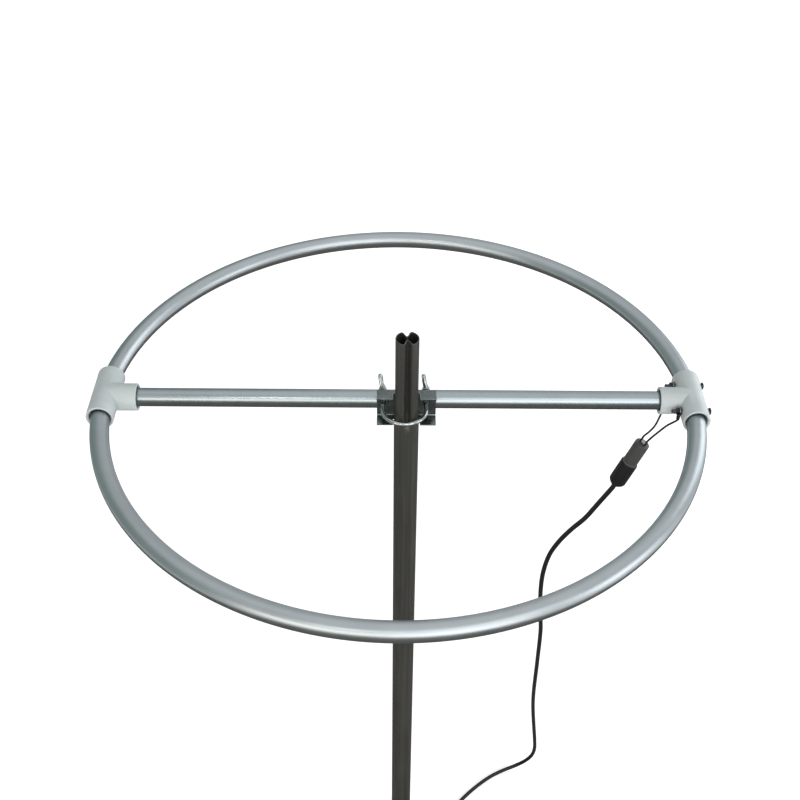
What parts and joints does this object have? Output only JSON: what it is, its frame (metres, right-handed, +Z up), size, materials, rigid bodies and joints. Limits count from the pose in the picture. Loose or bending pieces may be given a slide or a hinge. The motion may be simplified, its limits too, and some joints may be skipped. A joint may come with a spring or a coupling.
{
  "type": "circular television antenna",
  "caption": "Circular tube antenna on a boom and plastic tees, clamped by a U-bolt to a crimped mast, with a matching transformer and a coax lead coiled at the foot.",
  "frame": {"origin": "centre of the mast's open foot, at the plane of its lower end", "axes": "+Z up the mast, +Y from the clamp's front through the boom to the wing nuts, +X along the boom towards the feed"},
  "size_m": [0.6284, 0.6188, 1],
  "materials": {
    "mast_steel": "satin dark gunmetal",
    "boom_aluminium": "polished",
    "ring_aluminium": "satin",
    "tee_plastic": "light grey moulded",
    "galvanised_steel": "galvanised",
    "bright_zinc": "bright zinc plate",
    "terminal_steel": "zinc plate",
    "tinned_brass": "tinned",
    "lead_black": "black insulation",
    "lead_web": "thin pale web",
    "case_plastic": "dark grey moulded",
    "collar_plastic": "dark grey moulded, a little glossier",
    "ferrite": "sintered",
    "copper_wire": "enamelled",
    "plug_metal": "nickel plate",
    "insulator_plastic": "natural",
    "contact_brass": "bright",
    "boot_rubber": "black moulded",
    "coax_jacket": "black jacket",
    "tie_strap": "black strap"
  },
  "bodies": {
    "mast": {"mast": "mast_steel", "cable_coil": "coax_jacket", "cable_tie": "tie_strap", "tv_plug_grip": "boot_rubber", "tv_plug_shell": "plug_metal", "tv_plug_insulator": "insulator_plastic", "tv_plug_pin": "contact_brass"},
    "antenna": {"boom": "boom_aluminium", "ring_front": "ring_aluminium", "ring_rear": "ring_aluminium", "tee_left": "tee_plastic", "tee_right": "tee_plastic", "saddle_bracket": "galvanised_steel", "clamp_washers": "bright_zinc", "terminal_bolts": "terminal_steel", "terminal_washers": "terminal_steel", "terminal_lugs": "tinned_brass", "terminal_nuts": "terminal_steel", "lead_front": "lead_black", "lead_rear": "lead_black", "lead_web": "lead_web", "balun_case": "case_plastic", "balun_collar": "collar_plastic", "balun_core": "ferrite", "balun_winding": "copper_wire", "balun_socket": "plug_metal", "balun_insulator": "insulator_plastic", "balun_contact": "contact_brass", "coax_boot": "boot_rubber", "coax_shell": "plug_metal", "coax_insulator": "insulator_plastic", "coax_pin": "contact_brass", "coax_cable": "coax_jacket"},
    "u_bolt": {"u_bolt": "bright_zinc"},
    "wing_nut_left": {"wing_nut_left": "bright_zinc"},
    "wing_nut_right": {"wing_nut_right": "bright_zinc"}
  },
  "joints": [
    {"name": "ring_turn", "type": "hinge", "parent": "mast", "child": "antenna", "pos_m": [0, 0, 0.904], "axis": [0, 0, 1], "range_deg": [-90, 90], "deforming": ["coax_cable"]},
    {"name": "nut_right_turn", "type": "hinge", "parent": "antenna", "child": "wing_nut_right", "pos_m": [0.02025, 0.0353, 0.904], "axis": [0, 1, 0], "range_deg": [0, 3600]},
    {"name": "nut_left_turn", "type": "hinge", "parent": "antenna", "child": "wing_nut_left", "pos_m": [-0.02425, 0.0353, 0.904], "axis": [0, 1, 0], "range_deg": [0, 3600]},
    {"name": "u_bolt_slide", "type": "slide", "parent": "antenna", "child": "u_bolt", "axis": [0, -1, 0], "range_m": [0, 0.008]}
  ],
  "couplings": [
    {"joint": "nut_left_turn", "follows": "nut_right_turn", "ratio": 1},
    {"joint": "u_bolt_slide", "follows": "nut_right_turn", "m_per_rad": 0.0001273}
  ]
}
